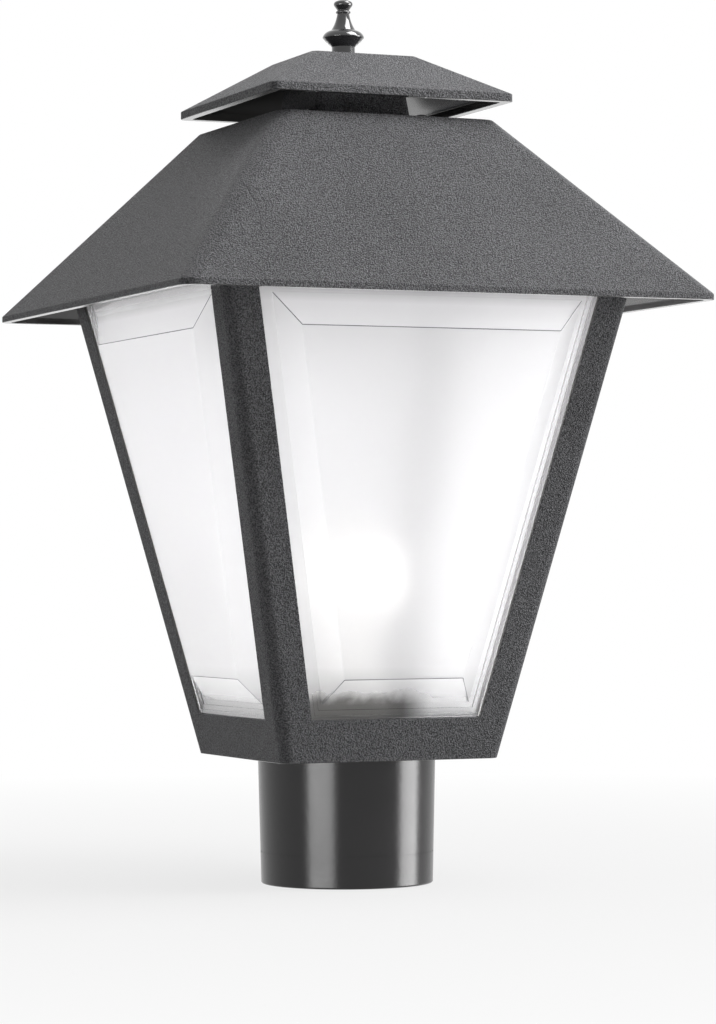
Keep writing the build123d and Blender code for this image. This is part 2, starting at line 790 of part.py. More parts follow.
with BuildPart() as socket_body:
    with BuildSketch(Plane.XY.offset(socket_z)):
        Circle(socket_radius)
    extrude(amount=socket_height)
    rim_edge = socket_body.edges().filter_by(GeomType.CIRCLE).group_by(Axis.Z)[-1]
    chamfer(rim_edge, socket_rim_chamfer)
    with BuildSketch(Plane.XY.offset(cavity_z)):
        Circle(socket_cavity_radius)
    extrude(amount=socket_height, mode=Mode.SUBTRACT)
    with BuildSketch(Plane.XY.offset(socket_z)):
        with Locations(*socket_screw_points):
            Circle(small_screw_radius + screw_clearance)
    extrude(amount=socket_floor, mode=Mode.SUBTRACT)
    for sy in (-1, 1):
        with BuildSketch(Plane(origin=(0, sy * socket_radius, terminal_z), z_dir=(0, sy, 0))):
            Circle(small_screw_radius + screw_clearance)
        extrude(amount=-terminal_screw_length, mode=Mode.SUBTRACT)
save(socket_body.part, "socket_body")

with BuildPart() as terminal_screws:
    for sy in (-1, 1):
        with BuildSketch(Plane(origin=(0, sy * socket_radius, terminal_z), z_dir=(0, sy, 0))):
            Circle(small_screw_radius)
        extrude(amount=-terminal_screw_length)
        with BuildSketch(Plane(origin=(0, sy * socket_radius, terminal_z), z_dir=(0, sy, 0))):
            Circle(small_head_radius)
        extrude(amount=small_head_height)
save(terminal_screws.part, "terminal_screws")

save(
    screws(
        socket_screw_points, cavity_z, socket_screw_length,
        small_screw_radius, small_head_radius, small_head_height,
    ),
    "socket_screws",
)

with BuildPart() as socket_shell:
    with BuildSketch(Plane.XY.offset(cavity_z)):
        Circle(socket_shell_radius)
        Circle(socket_shell_radius - socket_shell_wall, mode=Mode.SUBTRACT)
    extrude(amount=socket_shell_height)
save(socket_shell.part, "socket_shell")

with BuildPart() as socket_contact:
    with BuildSketch(Plane.XY.offset(cavity_z)):
        Circle(contact_radius)
    extrude(amount=contact_thickness)
save(socket_contact.part, "socket_contact")

with BuildPart() as wire_grommet:
    with BuildSketch(Plane.XY.offset(floor_top_z)):
        with Locations((0, grommet_offset)):
            Circle(grommet_flange_radius)
    extrude(amount=grommet_flange)
    with BuildSketch(Plane.XY.offset(floor_top_z)):
        with Locations((0, grommet_offset)):
            Circle(grommet_hole_radius - screw_clearance)
    extrude(amount=-body_floor)
    with BuildSketch(Plane.XY.offset(floor_top_z + grommet_flange)):
        with Locations((0, grommet_offset)):
            Circle(grommet_bore_radius)
    extrude(amount=-body_floor - grommet_flange, mode=Mode.SUBTRACT)
    fillet(
        wire_grommet.edges().filter_by(GeomType.CIRCLE).group_by(Axis.Z)[-1].sort_by(SortBy.RADIUS)[-1],
        grommet_flange / 2,
    )
save(wire_grommet.part, "wire_grommet")

# --- Lamp -------------------------------------------------------------------------------------

lamp_throat_z = lamp_glass_z + lamp_throat_height
throat_rise = lamp_centre_z - lamp_throat_z
throat_arc = (lamp_throat_radius**2 + throat_rise**2 - lamp_globe_radius**2) / (
    2 * (lamp_globe_radius - lamp_throat_radius)
)


def bulb(inset, mode=Mode.ADD):
    """Solid of the glass outline moved in by inset: throat, hollow flare and round globe."""
    globe = lamp_globe_radius - inset
    throat = lamp_throat_radius - inset
    flare = throat_arc + inset
    centre = Vector(0, lamp_centre_z)
    flare_centre = Vector(throat + flare, lamp_throat_z)
    joint = centre + (flare_centre - centre).normalized() * globe
    middle_angle = (math.pi + math.atan2(joint.Y - flare_centre.Y, joint.X - flare_centre.X)) / 2
    middle = flare_centre + Vector(math.cos(middle_angle), math.sin(middle_angle)) * flare
    with BuildSketch(Plane.XZ) as half_section:
        with BuildLine():
            Line((0, lamp_glass_z), (throat, lamp_glass_z))
            Line((throat, lamp_glass_z), (throat, lamp_throat_z))
            ThreePointArc((throat, lamp_throat_z), (middle.X, middle.Y), (joint.X, joint.Y))
            ThreePointArc((joint.X, joint.Y), (globe, lamp_centre_z), (0, lamp_centre_z + globe))
            Line((0, lamp_centre_z + globe), (0, lamp_glass_z))
        make_face()
    revolve(half_section.sketch, axis=Axis.Z, mode=mode)


with BuildPart() as lamp_globe:
    bulb(0)
    bulb(lamp_glass_wall, mode=Mode.SUBTRACT)
save(lamp_globe.part, "lamp_globe")

with BuildPart() as lamp_base:
    with BuildSketch(Plane.XY.offset(lamp_base_z)):
        Circle(lamp_base_radius)
        Circle(lamp_base_radius - lamp_base_wall, mode=Mode.SUBTRACT)
    extrude(amount=lamp_base_height + lamp_collar)
save(lamp_base.part, "lamp_base")

with BuildPart() as lamp_insulator:
    with BuildSketch(Plane.XY.offset(lamp_z + lamp_tip_height)):
        Circle(lamp_tip_radius + lamp_tip_ledge)
    with BuildSketch(Plane.XY.offset(lamp_base_z)):
        Circle(lamp_base_radius)
    loft()
save(lamp_insulator.part, "lamp_insulator")

with BuildPart() as lamp_contact:
    with BuildSketch(Plane.XY.offset(lamp_z)):
        Circle(lamp_tip_radius)
    extrude(amount=lamp_tip_height - lamp_tip_gap)
    fillet(
        lamp_contact.edges().filter_by(GeomType.CIRCLE).group_by(Axis.Z)[0],
        lamp_tip_height / 3,
    )
save(lamp_contact.part, "lamp_contact")
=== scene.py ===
"""Looks of a square post top lantern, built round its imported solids.

Sizes are in metres unless a name ends in _mm or _deg. -Y is the front, +Z is up along the post.
"""
import json
import logging
import math
from dataclasses import dataclass
from enum import Enum
from typing import Callable, Mapping, Optional, Sequence, Union

import bmesh
import bpy
from mathutils import Matrix, Vector


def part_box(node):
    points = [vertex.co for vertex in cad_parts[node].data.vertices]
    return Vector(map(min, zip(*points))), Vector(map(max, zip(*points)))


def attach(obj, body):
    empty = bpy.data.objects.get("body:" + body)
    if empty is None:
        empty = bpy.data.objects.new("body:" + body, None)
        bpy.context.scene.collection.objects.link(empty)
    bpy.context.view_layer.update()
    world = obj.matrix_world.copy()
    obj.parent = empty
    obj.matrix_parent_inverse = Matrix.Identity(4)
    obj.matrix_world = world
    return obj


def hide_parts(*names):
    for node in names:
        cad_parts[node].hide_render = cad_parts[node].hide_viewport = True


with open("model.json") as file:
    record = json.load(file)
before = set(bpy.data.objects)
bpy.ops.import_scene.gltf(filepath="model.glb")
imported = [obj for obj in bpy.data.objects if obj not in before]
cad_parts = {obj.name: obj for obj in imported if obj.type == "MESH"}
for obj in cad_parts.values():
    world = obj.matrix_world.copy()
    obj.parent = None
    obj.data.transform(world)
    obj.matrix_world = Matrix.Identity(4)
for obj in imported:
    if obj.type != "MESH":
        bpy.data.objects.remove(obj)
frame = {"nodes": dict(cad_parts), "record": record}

LOG = logging.getLogger("post_top_lantern")
PHOTO_HEIGHT_PX = 1024

MM = 0.001
MERGE = 0.001 * MM
FLAT = math.radians(0.5)
CREASE = math.radians(28.0)
SHARP = math.radians(40.0)

WHITE = (1.0, 1.0, 1.0)
BLACK = (0.0, 0.0, 0.0)
ACRYLIC_IOR = 1.49
NOISE_MEAN = 0.5
SIDE_STEEPNESS = 1000.0

Colour = tuple[float, float, float]
Point = tuple[float, float, float]
Value = Union["Wire", bpy.types.NodeSocket, float, int, Sequence[float]]


class Body(Enum):
    """The rigid bodies that made pieces ride on."""

    LANTERN = "lantern_body"
    ROOF = "roof"
    CAP = "cap"
    LAMP = "lamp"


class Maths(Enum):
    """Operations of a Math node that shader expressions use."""

    ADD = "ADD"
    SUBTRACT = "SUBTRACT"
    MULTIPLY = "MULTIPLY"
    DIVIDE = "DIVIDE"
    MINIMUM = "MINIMUM"
    MAXIMUM = "MAXIMUM"
    ABSOLUTE = "ABSOLUTE"
    GREATER = "GREATER_THAN"


class Wire:
    """One output socket of a node; arithmetic on it adds Math nodes."""

    def __init__(self, graph: "Graph", socket: bpy.types.NodeSocket) -> None:
        """Wrap a socket.

        Args:
            graph: The graph that new nodes go into.
            socket: The output socket.
        """
        self.graph = graph
        self.socket = socket

    def __add__(self, other: Value) -> "Wire":
        """This value plus another."""
        return self.graph.maths(Maths.ADD, self, other)

    __radd__ = __add__

    def __sub__(self, other: Value) -> "Wire":
        """This value less another."""
        return self.graph.maths(Maths.SUBTRACT, self, other)

    def __rsub__(self, other: Value) -> "Wire":
        """Another value less this one."""
        return self.graph.maths(Maths.SUBTRACT, other, self)

    def __mul__(self, other: Value) -> "Wire":
        """This value times another."""
        return self.graph.maths(Maths.MULTIPLY, self, other)

    __rmul__ = __mul__

    def __truediv__(self, other: Value) -> "Wire":
        """This value divided by another."""
        return self.graph.maths(Maths.DIVIDE, self, other)

    def __rtruediv__(self, other: Value) -> "Wire":
        """Another value divided by this one."""
        return self.graph.maths(Maths.DIVIDE, other, self)

    def __abs__(self) -> "Wire":
        """This value without its sign."""
        return self.graph.maths(Maths.ABSOLUTE, self, 0.0)

    def above(self, limit: Value) -> "Wire":
        """1 where this value is above the limit, else 0."""
        return self.graph.maths(Maths.GREATER, self, limit)

    def at_least(self, floor: Value) -> "Wire":
        """This value, or the floor where it is lower."""
        return self.graph.maths(Maths.MAXIMUM, self, floor)

    def clamped(self) -> "Wire":
        """This value held between 0 and 1."""
        return self.graph.maths(Maths.MINIMUM, self.at_least(0.0), 1.0)


class Graph:
    """One node tree that shaders are built in."""

    def __init__(self, tree: bpy.types.NodeTree) -> None:
        """Take a node tree and empty it.

        Args:
            tree: Tree of a material or of the world.
        """
        self.tree = tree
        self.tree.nodes.clear()

    def node(
        self, kind: str, settings: Optional[Mapping[str, object]] = None, **sockets: Value,
    ) -> bpy.types.Node:
        """Add one node.

        Args:
            kind: Blender's node type.
            settings: Properties of the node, set before its sockets.
            **sockets: Values or wires, by the socket's name with underscores, or by its place as i0, i1.

        Returns:
            The new node.
        """
        made = self.tree.nodes.new(kind)
        for name, value in (settings or {}).items():
            setattr(made, name, value)
        for name, value in sockets.items():
            self._feed(self._find_socket(made, name), value)
        return made

    @staticmethod
    def _find_socket(made: bpy.types.Node, name: str) -> bpy.types.NodeSocket:
        """Find an input socket of a node.

        Args:
            made: The node.
            name: The socket's place, such as i0, or its name with underscores.

        Returns:
            The socket.
        """
        if name[0] == "i" and name[1:].isdigit():
            return made.inputs[int(name[1:])]
        return made.inputs[name.replace("_", " ")]

    def _feed(self, socket: bpy.types.NodeSocket, value: Value) -> None:
        """Link a wire to a socket, or set the socket's own value.

        Args:
            socket: The input socket.
            value: What it gets.
        """
        if isinstance(value, Wire):
            self.tree.links.new(value.socket, socket)
        elif isinstance(value, bpy.types.NodeSocket):
            self.tree.links.new(value, socket)
        elif isinstance(value, (float, int)):
            socket.default_value = value
        elif socket.type == "RGBA":
            socket.default_value = (*value, 1.0)[:4]
        else:
            socket.default_value = value

    def wire(self, made: bpy.types.Node, output: Union[int, str] = 0) -> Wire:
        """One output of a node, ready for arithmetic."""
        return Wire(self, made.outputs[output])

    def maths(self, operation: Maths, first: Value, second: Value) -> Wire:
        """Add a Math node."""
        return self.wire(self.node("ShaderNodeMath", {"operation": operation.value}, i0=first, i1=second))

    def vector(self, operation: str, **sockets: Value) -> bpy.types.Node:
        """Add a Vector Math node."""
        return self.node("ShaderNodeVectorMath", {"operation": operation}, **sockets)

    def place(self) -> Wire:
        """Position on the piece at rest, in metres."""
        return self.wire(self.node("ShaderNodeTexCoord"), "Object")

    def axis(self, vector: Value, name: str) -> Wire:
        """One part, X, Y or Z, of a vector."""
        return self.wire(self.node("ShaderNodeSeparateXYZ", i0=vector), name)

    def stretched(self, where: Value, scale: Point) -> Wire:
        """Position scaled along each axis."""
        return self.wire(self.node("ShaderNodeMapping", Vector=where, Scale=scale))

    def noise(self, where: Value, size_mm: float, detail: float = 2.0, roughness: float = 0.5) -> Wire:
        """Soft noise from 0 to 1.

        Args:
            where: Position.
            size_mm: Size of its blobs.
            detail: Number of finer layers.
            roughness: Share of the finer layers.

        Returns:
            The noise.
        """
        per_metre = 1.0 / (size_mm * MM)
        made = self.node(
            "ShaderNodeTexNoise", Vector=where, Scale=per_metre, Detail=detail, Roughness=roughness,
        )
        return self.wire(made, "Fac")

    def cells(self, where: Value, size_mm: float) -> Wire:
        """Distance to the nearest of many scattered points, for pebbles and spangle.

        Args:
            where: Position.
            size_mm: Mean spacing of the points.

        Returns:
            The distance, in cells.
        """
        per_metre = 1.0 / (size_mm * MM)
        made = self.node("ShaderNodeTexVoronoi", {"feature": "F1"}, Vector=where, Scale=per_metre)
        return self.wire(made, "Distance")

    def outward(self) -> Wire:
        """Find how far the surface faces away from the lantern's axis.

        Returns:
            Above 0 on an outer face, below 0 on an inner one. Cycles turns the normal of a back face
            round, so it is turned back here.
        """
        geometry = self.node("ShaderNodeNewGeometry")
        level = self.vector("MULTIPLY", i0=self.place(), i1=(1.0, 1.0, 0.0))
        away = self.vector("NORMALIZE", i0=level.outputs[0])
        facing = self.vector("DOT_PRODUCT", i0=geometry.outputs["True Normal"], i1=away.outputs[0])
        return self.wire(facing, "Value") * (1.0 - self.wire(geometry, "Backfacing") * 2.0)

    def blend(self, share: Value, first: Value, second: Value) -> Wire:
        """Mix of two colours, the second at share 1."""
        made = self.node("ShaderNodeMix", {"data_type": "RGBA"}, i0=share, i6=first, i7=second)
        return self.wire(made, 2)

    def relief(self, height: Value, depth_mm: float) -> Wire:
        """Normal of a surface with a height from 0 to 1, where 1 stands for the depth."""
        return self.wire(self.node("ShaderNodeBump", Strength=1.0, Distance=depth_mm * MM, Height=height))

    def finish(self, **sockets: Value) -> None:
        """Close a material's tree with one Principled shader."""
        shader = self.node("ShaderNodeBsdfPrincipled", **sockets)
        self.node("ShaderNodeOutputMaterial", i0=shader.outputs[0])


@dataclass(frozen=True)
class Ramp:
    """A straight change from 0 to 1 over a stretch, downwards where the stretch is negative."""

    start: float
    stretch: float

    def unheld(self, measure: Wire) -> Wire:
        """Share at a measure, also below 0 and above 1."""
        return (measure - self.start) / self.stretch

    def at(self, measure: Wire) -> Wire:
        """Share at a measure, held between 0 and 1."""
        return self.unheld(measure).clamped()


def toned(colour: Colour, factor: float, lift: float = 0.0) -> Colour:
    """Lighter or darker version of a colour."""
    return tuple(min(1.0, part * factor + lift) for part in colour)


@dataclass(frozen=True)
class Finish:
    """A surface finish."""

    name: str

    def make(self) -> bpy.types.Material:
        """Build the material.

        Returns:
            The new material.
        """
        material = bpy.data.materials.new(self.name)
        material.use_nodes = True
        self.paint(Graph(material.node_tree))
        return material

    def paint(self, graph: Graph) -> None:
        """Fill the material's empty graph."""
        raise NotImplementedError


@dataclass(frozen=True)
class PebblePlastic(Finish):
    """Moulded charcoal plastic: pebble grain on its outer faces, plain and shinier inside. The grain's
    hollows carry painted shade, and faces turned upwards carry painted light.
    """

    colour: Colour = (0.176, 0.176, 0.184)
    # Darker colour of the painted shade in the grain's hollows, also used for the arc mark.
    valley: Colour = (0.050, 0.050, 0.052)
    inside: Colour = (0.058, 0.057, 0.056)
    inside_paler: float = 1.15
    upward_share: float = 0.8
    outside_steepness: float = 40.0
    outside_start: float = 4.0
    grain_mm: float = 0.62
    grain_depth_mm: float = 1.3
    ripple_share: float = 1.5
    pebble_mm: float = 0.775
    pebble_mean: float = 0.45
    pebble_share: float = 0.7
    contrast: float = 1.6
    cloud_mm: float = 46.0
    cloud_share: float = 0.4
    roughness: float = 0.50
    inside_roughness: float = 0.24
    rough_cloud: float = 0.10
    rough_speck: float = 0.08
    # Lift of the painted light on faces turned upwards.
    top_light_lift: float = 1.30
    top_light_from: float = 0.76
    top_light_steepness: float = 12.0
    mark: Point = (-0.1343, -0.1024, 0.3160)
    mark_radius: float = 0.0483
    mark_width: float = 0.0006
    mark_share: float = 0.7
    arc: Ramp = Ramp(-0.09083, 0.002)
    specular: float = 0.12
    coat_roughness: float = 0.20

    def paint(self, graph: Graph) -> None:
        """Fill the material's empty graph.

        Args:
            graph: The graph.
        """
        where = graph.place()
        upward = graph.axis(graph.wire(graph.node("ShaderNodeNewGeometry"), "True Normal"), "Z")
        facing = graph.outward() + upward * self.upward_share
        grained = (facing * self.outside_steepness - self.outside_start).clamped()
        height = self._height(graph, where)
        cloud = graph.noise(where, self.cloud_mm, detail=3.0)
        drift = (cloud - NOISE_MEAN) * self.cloud_share
        # Painted shade: the grain's hollows are coloured darker by their height; the cloud adds a random
        # tone.
        grain_shade_and_tone = ((height - NOISE_MEAN) * self.contrast + NOISE_MEAN + drift).clamped()
        skin = graph.blend(grain_shade_and_tone, self.valley, self.colour)
        # Painted light: faces turned upwards get a lighter copy of the grained colour.
        lit_top_skin = graph.blend(grain_shade_and_tone, toned(self.valley, self.top_light_lift), toned(self.colour, self.top_light_lift))
        facing_up_light = ((upward - self.top_light_from) * self.top_light_steepness).clamped()
        skin = graph.blend(facing_up_light, skin, lit_top_skin)
        skin = graph.blend(self._mark(graph, where) * self.mark_share, skin, self.valley)
        inner = graph.blend(cloud, self.inside, toned(self.inside, self.inside_paler))
        rough = self.roughness + (cloud - NOISE_MEAN) * self.rough_cloud - grain_shade_and_tone * self.rough_speck
        graph.finish(
            Base_Color=graph.blend(grained, inner, skin),
            Roughness=self.inside_roughness + grained * (rough - self.inside_roughness),
            Specular_IOR_Level=self.specular,
            Coat_Weight=1.0 - grained,
            Coat_Roughness=self.coat_roughness,
            Normal=graph.relief(height * grained, self.grain_depth_mm),
        )

    def _height(self, graph: Graph, where: Wire) -> Wire:
        """Height of the pebble grain.

        Args:
            graph: The graph.
            where: Position.

        Returns:
            The height, from 0 to 1.
        """
        pebbles = graph.cells(where, self.pebble_mm)
        ripple = graph.noise(where, self.grain_mm, detail=1.0)
        bumps = (ripple - NOISE_MEAN) * self.ripple_share + (self.pebble_mean - pebbles) * self.pebble_share
        return (bumps + NOISE_MEAN).clamped()

    def _mark(self, graph: Graph, where: Wire) -> Wire:
        """Faint arc on the roof near its front left hip.

        Args:
            graph: The graph.
            where: Position.

        Returns:
            1 on the arc, else 0.
        """
        apart = graph.wire(graph.vector("DISTANCE", i0=where, i1=self.mark), "Value")
        ring = (1.0 - abs(apart - self.mark_radius) / self.mark_width).clamped()
        return ring * self.arc.at(graph.axis(where, "X"))


@dataclass(frozen=True)
class Enamel(Finish):
    """Black paint over metal, with a faint orange peel."""

    colour: Colour = (0.012, 0.012, 0.013)
    roughness: float = 0.16
    peel_mm: float = 3.2
    peel_depth_mm: float = 0.02
    coat: float = 0.0
    coat_roughness: float = 0.06
    shine: float = 0.5
    haze_size: float = 7.0
    haze_tone: float = 1.6
    haze_lift: float = 0.002
    rough_haze: float = 0.08

    def paint(self, graph: Graph) -> None:
        """Fill the material's empty graph.

        Args:
            graph: The graph.
        """
        where = graph.place()
        peel = graph.noise(where, self.peel_mm, detail=1.0)
        haze = graph.noise(where, self.peel_mm * self.haze_size, detail=3.0)
        graph.finish(
            Base_Color=graph.blend(haze, self.colour, toned(self.colour, self.haze_tone, self.haze_lift)),
            Roughness=self.roughness + (haze - NOISE_MEAN) * self.rough_haze,
            Specular_IOR_Level=self.shine,
            Coat_Weight=self.coat,
            Coat_Roughness=self.coat_roughness,
            Normal=graph.relief(peel, self.peel_depth_mm),
        )


@dataclass(frozen=True)
class FrostedPane(Finish):
    """Moulded pane, polished outside and frosted inside, that scatters the lamp's light, and gives off a
    painted glow of its own that stands in for more scattered light.

    The head carries a painted shade from the eaves. The foot of the front and rear panes carries a painted
    shade beside the socket.
    """

    tint: Colour = (0.985, 0.985, 0.99)
    tint_drift: float = 0.985
    inner_roughness: float = 0.38
    outer_roughness: float = 0.06
    rough_cloud: float = 0.04
    cloud_mm: float = 9.0
    frost_mm: float = 0.6
    frost_depth_mm: float = 0.02
    glow: Colour = (1.0, 0.985, 0.99)
    # Strength of the painted glow that the pane gives off itself.
    painted_glow_strength: float = 0.20
    glow_least: float = 0.05
    glow_low: float = 0.70
    glow_high: float = 0.26
    glow_cloud: float = 0.06
    glow_head: float = 0.8
    glow_foot: float = 0.9
    milk: Colour = (0.97, 0.97, 0.98)
    scatter: float = 0.45
    scatter_least: float = 0.25
    scatter_foot: float = 0.85
    scatter_head: float = 0.75
    rise: Ramp = Ramp(0.080, 0.026)
    upper: Ramp = Ramp(0.13, 0.14)
    head: Ramp = Ramp(0.2730, 0.0105)
    # Colour of the painted shade at the pane's head, under the eaves.
    painted_head_shade: Colour = (0.80, 0.79, 0.805)
    foot: Ramp = Ramp(0.0970, -0.0085)
    # Colour of the painted shade at the foot of the front and rear panes.
    painted_foot_shade: Colour = (0.21, 0.205, 0.20)
    foot_x: float = -0.019
    foot_side: Ramp = Ramp(0.037, -0.014)
    shade: Ramp = Ramp(0.132, -0.040)
    shade_share: float = 0.20
    finger_mm: float = 7.0
    finger_stretch: Point = (1.0, 1.0, 0.25)
    finger_share: float = 1.2

    def paint(self, graph: Graph) -> None:
        """Fill the material's empty graph.

        Args:
            graph: The graph.
        """
        where = graph.place()
        height = graph.axis(where, "Z")
        inside = (graph.outward() * -SIDE_STEEPNESS).clamped()
        cloud = graph.noise(where, self.cloud_mm, detail=4.0, roughness=0.6)
        frost = graph.noise(where, self.frost_mm)
        rough = self.outer_roughness + inside * (self.inner_roughness - self.outer_roughness)
        rise, head, foot = self.rise.at(height), self.head.at(height), self._painted_foot_shade(graph, where, height)
        # Painted glow: the pane's own emission, stronger higher up and weaker at the head and foot, stands
        # in for lamp light scattered in the pane.
        share = self.glow_least + rise * (self.glow_low + self.upper.at(height) * self.glow_high)
        share = (share - cloud * self.glow_cloud) * (1.0 - head * self.glow_head)
        share = share * (1.0 - foot * self.glow_foot)
        tint = graph.blend(cloud, self.tint, toned(self.tint, self.tint_drift))
        clear = graph.node(
            "ShaderNodeBsdfPrincipled",
            # The base colour carries painted shade: darker at the head under the eaves and at the foot
            # beside the socket.
            Base_Color=graph.blend(foot, graph.blend(head, tint, self.painted_head_shade), self.painted_foot_shade),
            Roughness=rough + (cloud - NOISE_MEAN) * self.rough_cloud,
            IOR=ACRYLIC_IOR,
            Transmission_Weight=1.0,
            Emission_Color=graph.blend(share, BLACK, self.glow),
            Emission_Strength=self.painted_glow_strength,
            Normal=graph.relief(frost * inside, self.frost_depth_mm),
        )
        milky = graph.node("ShaderNodeBsdfTranslucent", Color=self.milk)
        milkiness = self.scatter * (self.scatter_least + rise * (1.0 - self.scatter_least))
        milkiness = milkiness * (1.0 - foot * self.scatter_foot) * (1.0 - head * self.scatter_head)
        mixed = graph.node("ShaderNodeMixShader", i0=milkiness, i1=clear.outputs[0], i2=milky.outputs[0])
        graph.node("ShaderNodeOutputMaterial", i0=mixed.outputs[0])

    def _painted_foot_shade(self, graph: Graph, where: Wire, height: Wire) -> Wire:
        """Painted shade at the foot of the front and rear panes, standing in for the dark blurred view
        beside the socket, with a softer painted shade above it.

        Args:
            graph: The graph.
            where: Position.
            height: The position's height.

        Returns:
            1 where the painted shade is darkest, else down to 0.
        """
        across, along = graph.axis(where, "X"), graph.axis(where, "Y")
        fingers = graph.noise(graph.stretched(where, self.finger_stretch), self.finger_mm)
        foot = (self.foot.unheld(height) + (fingers - NOISE_MEAN) * self.finger_share).clamped()
        smooth = foot * foot * (3.0 - foot * 2.0)
        reach = self.foot_side.at(abs(across - self.foot_x)) * abs(along).above(abs(across))
        return smooth.at_least(self.shade.at(height) * self.shade_share) * reach


@dataclass(frozen=True)
class PaneCrease(Finish):
    """Narrow rounded edge between a pane's facets, coloured dark grey as a painted refraction line, which
    shows as a grey hairline.
    """

    tone: Colour = (0.10, 0.10, 0.11)
    paler: Colour = (0.34, 0.34, 0.35)
    uneven_mm: float = 34.0
    contrast: float = 3.0
    roughness: float = 0.20
    rough_uneven: float = 0.1
    transmission: float = 0.4

    def paint(self, graph: Graph) -> None:
        """Fill the material's empty graph.

        Args:
            graph: The graph.
        """
        uneven = graph.noise(graph.place(), self.uneven_mm)
        share = ((uneven - NOISE_MEAN) * self.contrast + NOISE_MEAN).clamped()
        graph.finish(
            # Painted refraction line: the clear crease is coloured dark grey.
            Base_Color=graph.blend(share, self.tone, self.paler),
            Roughness=self.roughness + uneven * self.rough_uneven,
            IOR=ACRYLIC_IOR,
            Transmission_Weight=self.transmission,
        )


@dataclass(frozen=True)
class Plated(Finish):
    """Bare or plated metal with a spangled surface."""

    colour: Colour = (0.62, 0.63, 0.64)
    roughness: float = 0.32
    spangle_mm: float = 2.4
    spangle_tone: float = 0.78
    cloud_size: float = 4.0
    rough_cloud: float = 0.16
    depth_mm: float = 0.01

    def paint(self, graph: Graph) -> None:
        """Fill the material's empty graph.

        Args:
            graph: The graph.
        """
        where = graph.place()
        spangle = graph.cells(where, self.spangle_mm)
        cloud = graph.noise(where, self.spangle_mm * self.cloud_size, detail=3.0)
        graph.finish(
            Base_Color=graph.blend(spangle, self.colour, toned(self.colour, self.spangle_tone)),
            Metallic=1.0,
            Roughness=self.roughness + (cloud - NOISE_MEAN) * self.rough_cloud,
            Normal=graph.relief(cloud, self.depth_mm),
        )


@dataclass(frozen=True)
class Dull(Finish):
    """Rubber, vitrite, porcelain or lacquer: one colour with a cloudy tone and a slight relief."""

    colour: Colour = (0.03, 0.03, 0.03)
    roughness: float = 0.7
    cloud_mm: float = 5.0
    depth_mm: float = 0.03
    coat: float = 0.0
    coat_roughness: float = 0.08
    cloud_tone: float = 1.25
    cloud_lift: float = 0.004
    rough_cloud: float = 0.14
    fine_size: float = 0.16

    def paint(self, graph: Graph) -> None:
        """Fill the material's empty graph.

        Args:
            graph: The graph.
        """
        where = graph.place()
        cloud = graph.noise(where, self.cloud_mm, detail=4.0, roughness=0.6)
        fine = graph.noise(where, self.cloud_mm * self.fine_size)
        paler = toned(self.colour, self.cloud_tone, self.cloud_lift)
        graph.finish(
            Base_Color=graph.blend(cloud, self.colour, paler),
            Roughness=self.roughness + (cloud - NOISE_MEAN) * self.rough_cloud,
            Coat_Weight=self.coat,
            Coat_Roughness=self.coat_roughness,
            Normal=graph.relief(fine, self.depth_mm),
        )


@dataclass(frozen=True)
class LitGlass(Finish):
    """White frosted bulb glass of a lamp that is on."""

    colour: Colour = (0.93, 0.93, 0.91)
    colour_drift: float = 0.97
    cloud_mm: float = 14.0
    roughness: float = 0.30
    rough_cloud: float = 0.06
    glow: Colour = (1.0, 0.97, 0.93)
    glow_least: float = 0.25
    glow_cloud: float = 0.1
    strength: float = 0.70
    hot_z: float = 0.146
    hot_reach: float = 0.045
    hot_fall: float = 0.7

    def paint(self, graph: Graph) -> None:
        """Fill the material's empty graph.

        Args:
            graph: The graph.
        """
        where = graph.place()
        away = abs(graph.axis(where, "Z") - self.hot_z) / self.hot_reach
        cloud = graph.noise(where, self.cloud_mm, detail=3.0)
        share = (1.0 - away * away * self.hot_fall - cloud * self.glow_cloud).clamped()
        graph.finish(
            Base_Color=graph.blend(cloud, self.colour, toned(self.colour, self.colour_drift)),
            Roughness=self.roughness + cloud * self.rough_cloud,
            Emission_Color=graph.blend(share, toned(self.glow, self.glow_least), self.glow),
            Emission_Strength=self.strength,
        )


@dataclass(frozen=True)
class PaleFloor(Finish):
    """Floor that keeps the lantern's shadow, fades to white away from it and is open to reflections."""

    tone: Colour = (0.34, 0.34, 0.34)
    shadow_fill: float = 0.78
    shadow_reach: float = 0.9

    def paint(self, graph: Graph) -> None:
        """Fill the material's empty graph.

        Args:
            graph: The graph.
        """
        paths = graph.node("ShaderNodeLightPath")
        shade = graph.node("ShaderNodeBsdfDiffuse", Color=self.tone)
        white = graph.node("ShaderNodeEmission", Color=WHITE, Strength=1.0)
        open_below = graph.node("ShaderNodeBsdfTransparent")
        fade = (graph.wire(graph.vector("LENGTH", i0=graph.place()), "Value") / self.shadow_reach).clamped()
        seen = graph.wire(paths, "Is Camera Ray") * (self.shadow_fill + (1.0 - self.shadow_fill) * fade)
        mirrored = graph.wire(paths, "Is Glossy Ray").at_least(graph.wire(paths, "Is Transmission Ray"))
        pale = graph.node("ShaderNodeMixShader", i0=seen, i1=shade.outputs[0], i2=white.outputs[0])
        mixed = graph.node("ShaderNodeMixShader", i0=mirrored, i1=pale.outputs[0], i2=open_below.outputs[0])
        graph.node("ShaderNodeOutputMaterial", i0=mixed.outputs[0])


